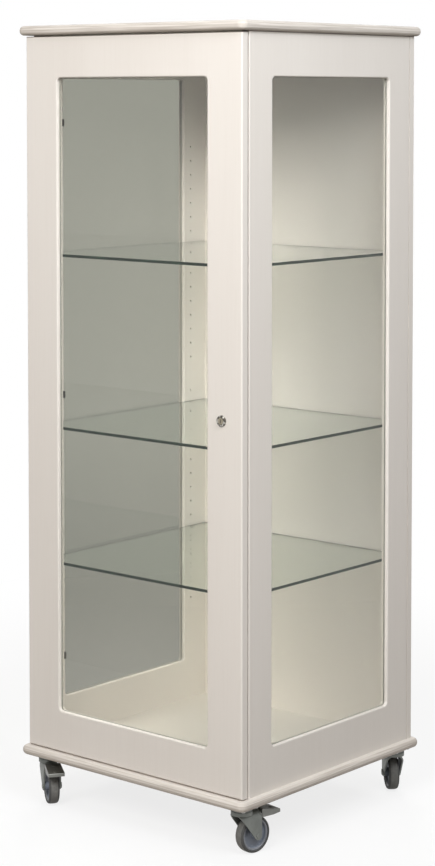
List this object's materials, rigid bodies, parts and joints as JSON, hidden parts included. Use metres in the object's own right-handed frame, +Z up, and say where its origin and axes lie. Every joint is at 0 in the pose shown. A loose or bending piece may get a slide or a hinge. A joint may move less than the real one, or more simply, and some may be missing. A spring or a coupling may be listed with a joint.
{
  "type": "glazed display cabinet",
  "caption": "Tall display cabinet with glazed side panels, a glazed hinged door with a cam lock, glass shelves on pins and swivel castors with brakes at the front.",
  "frame": {"origin": "on the floor under the middle of the cabinet", "axes": "+X to the right of someone facing the door, +Y to the back, +Z up"},
  "size_m": [0.62, 0.6429, 1.6527],
  "materials": {
    "lacquered_wood": "pale veneer with a white glaze under satin lacquer",
    "clear_glass": "clear float glass, green at its edges",
    "gasket_rubber": "pale grey, matte",
    "bare_wood": "plain beech",
    "nickel": "nickel plated",
    "screw_steel": "zinc plated",
    "zinc_steel": "zinc plated sheet",
    "wheel_plastic": "moulded",
    "tyre_rubber": "grey, matte"
  },
  "bodies": {
    "carcass": {"top_board": "lacquered_wood", "bottom_board": "lacquered_wood", "left_side_panel": "lacquered_wood", "right_side_panel": "lacquered_wood", "back_panel": "lacquered_wood", "left_pane": "clear_glass", "right_pane": "clear_glass", "left_gasket": "gasket_rubber", "right_gasket": "gasket_rubber", "side_slot_strips": "lacquered_wood", "upper_shelf": "clear_glass", "middle_shelf": "clear_glass", "lower_shelf": "clear_glass", "shelf_pins": "nickel", "carcass_dowels": "bare_wood", "carcass_screws": "screw_steel", "back_screws": "screw_steel", "hinge_arm_upper": "nickel", "hinge_arm_middle": "nickel", "hinge_arm_lower": "nickel", "hinge_plates": "nickel", "fitting_screws": "screw_steel", "strike_plate": "nickel", "castor_plates": "zinc_steel", "castor_king_pins": "zinc_steel", "castor_screws": "screw_steel"},
    "door": {"door_panel": "lacquered_wood", "door_pane": "clear_glass", "door_gasket": "gasket_rubber", "door_slot_strip": "lacquered_wood", "hinge_cup_upper": "nickel", "hinge_cup_middle": "nickel", "hinge_cup_lower": "nickel", "hinge_pins": "nickel", "hinge_cup_screws": "screw_steel", "lock_body": "nickel", "lock_nut": "nickel", "door_bumpers": "gasket_rubber"},
    "lock": {"lock_plug": "nickel", "lock_cam": "nickel", "lock_cam_screw": "screw_steel"},
    "fork_front_left": {"castor_fork_front_left": "zinc_steel", "castor_axle_front_left": "zinc_steel"},
    "wheel_front_left": {"castor_wheel_front_left": "wheel_plastic", "castor_tyre_front_left": "tyre_rubber"},
    "pedal_front_left": {"brake_pedal_front_left": "zinc_steel"},
    "fork_front_right": {"castor_fork_front_right": "zinc_steel", "castor_axle_front_right": "zinc_steel"},
    "wheel_front_right": {"castor_wheel_front_right": "wheel_plastic", "castor_tyre_front_right": "tyre_rubber"},
    "pedal_front_right": {"brake_pedal_front_right": "zinc_steel"},
    "fork_rear_left": {"castor_fork_rear_left": "zinc_steel", "castor_axle_rear_left": "zinc_steel"},
    "wheel_rear_left": {"castor_wheel_rear_left": "wheel_plastic", "castor_tyre_rear_left": "tyre_rubber"},
    "fork_rear_right": {"castor_fork_rear_right": "zinc_steel", "castor_axle_rear_right": "zinc_steel"},
    "wheel_rear_right": {"castor_wheel_rear_right": "wheel_plastic", "castor_tyre_rear_right": "tyre_rubber"}
  },
  "joints": [
    {"name": "door_hinge", "type": "hinge", "parent": "carcass", "child": "door", "pos_m": [-0.2895, -0.27675, 0.8687], "axis": [0, 0, -1], "range_deg": [0, 100]},
    {"name": "lock_turn", "type": "hinge", "parent": "door", "child": "lock", "pos_m": [0.244, -0.26145, 0.8687], "axis": [0, 1, 0], "range_deg": [0, 90]},
    {"name": "swivel_front_left", "type": "hinge", "parent": "carcass", "child": "fork_front_left", "pos_m": [-0.269, -0.25325, 0.0906], "axis": [0, 0, 1], "continuous": true},
    {"name": "roll_front_left", "type": "hinge", "parent": "fork_front_left", "child": "wheel_front_left", "pos_m": [-0.24592, -0.26911, 0.0375], "axis": [0.5664, 0.8241, 0], "continuous": true},
    {"name": "brake_front_left", "type": "hinge", "parent": "fork_front_left", "child": "pedal_front_left", "pos_m": [-0.24098, -0.27251, 0.0795], "axis": [0.5664, 0.8241, 0], "range_deg": [0, 12]},
    {"name": "swivel_front_right", "type": "hinge", "parent": "carcass", "child": "fork_front_right", "pos_m": [0.269, -0.25325, 0.0906], "axis": [0, 0, 1], "continuous": true},
    {"name": "roll_front_right", "type": "hinge", "parent": "fork_front_right", "child": "wheel_front_right", "pos_m": [0.27386, -0.22567, 0.0375], "axis": [-0.9848, 0.1736, 0], "continuous": true},
    {"name": "brake_front_right", "type": "hinge", "parent": "fork_front_right", "child": "pedal_front_right", "pos_m": [0.2749, -0.21977, 0.0795], "axis": [-0.9848, 0.1736, 0], "range_deg": [0, 12]},
    {"name": "swivel_rear_left", "type": "hinge", "parent": "carcass", "child": "fork_rear_left", "pos_m": [-0.269, 0.26075, 0.0906], "axis": [0, 0, 1], "continuous": true},
    {"name": "roll_rear_left", "type": "hinge", "parent": "fork_rear_left", "child": "wheel_rear_left", "pos_m": [-0.26414, 0.28832, 0.0375], "axis": [-0.9848, 0.1736, 0], "continuous": true},
    {"name": "swivel_rear_right", "type": "hinge", "parent": "carcass", "child": "fork_rear_right", "pos_m": [0.269, 0.26075, 0.0906], "axis": [0, 0, 1], "continuous": true},
    {"name": "roll_rear_right", "type": "hinge", "parent": "fork_rear_right", "child": "wheel_rear_right", "pos_m": [0.24836, 0.27967, 0.0375], "axis": [-0.6756, -0.7373, 0], "continuous": true}
  ]
}
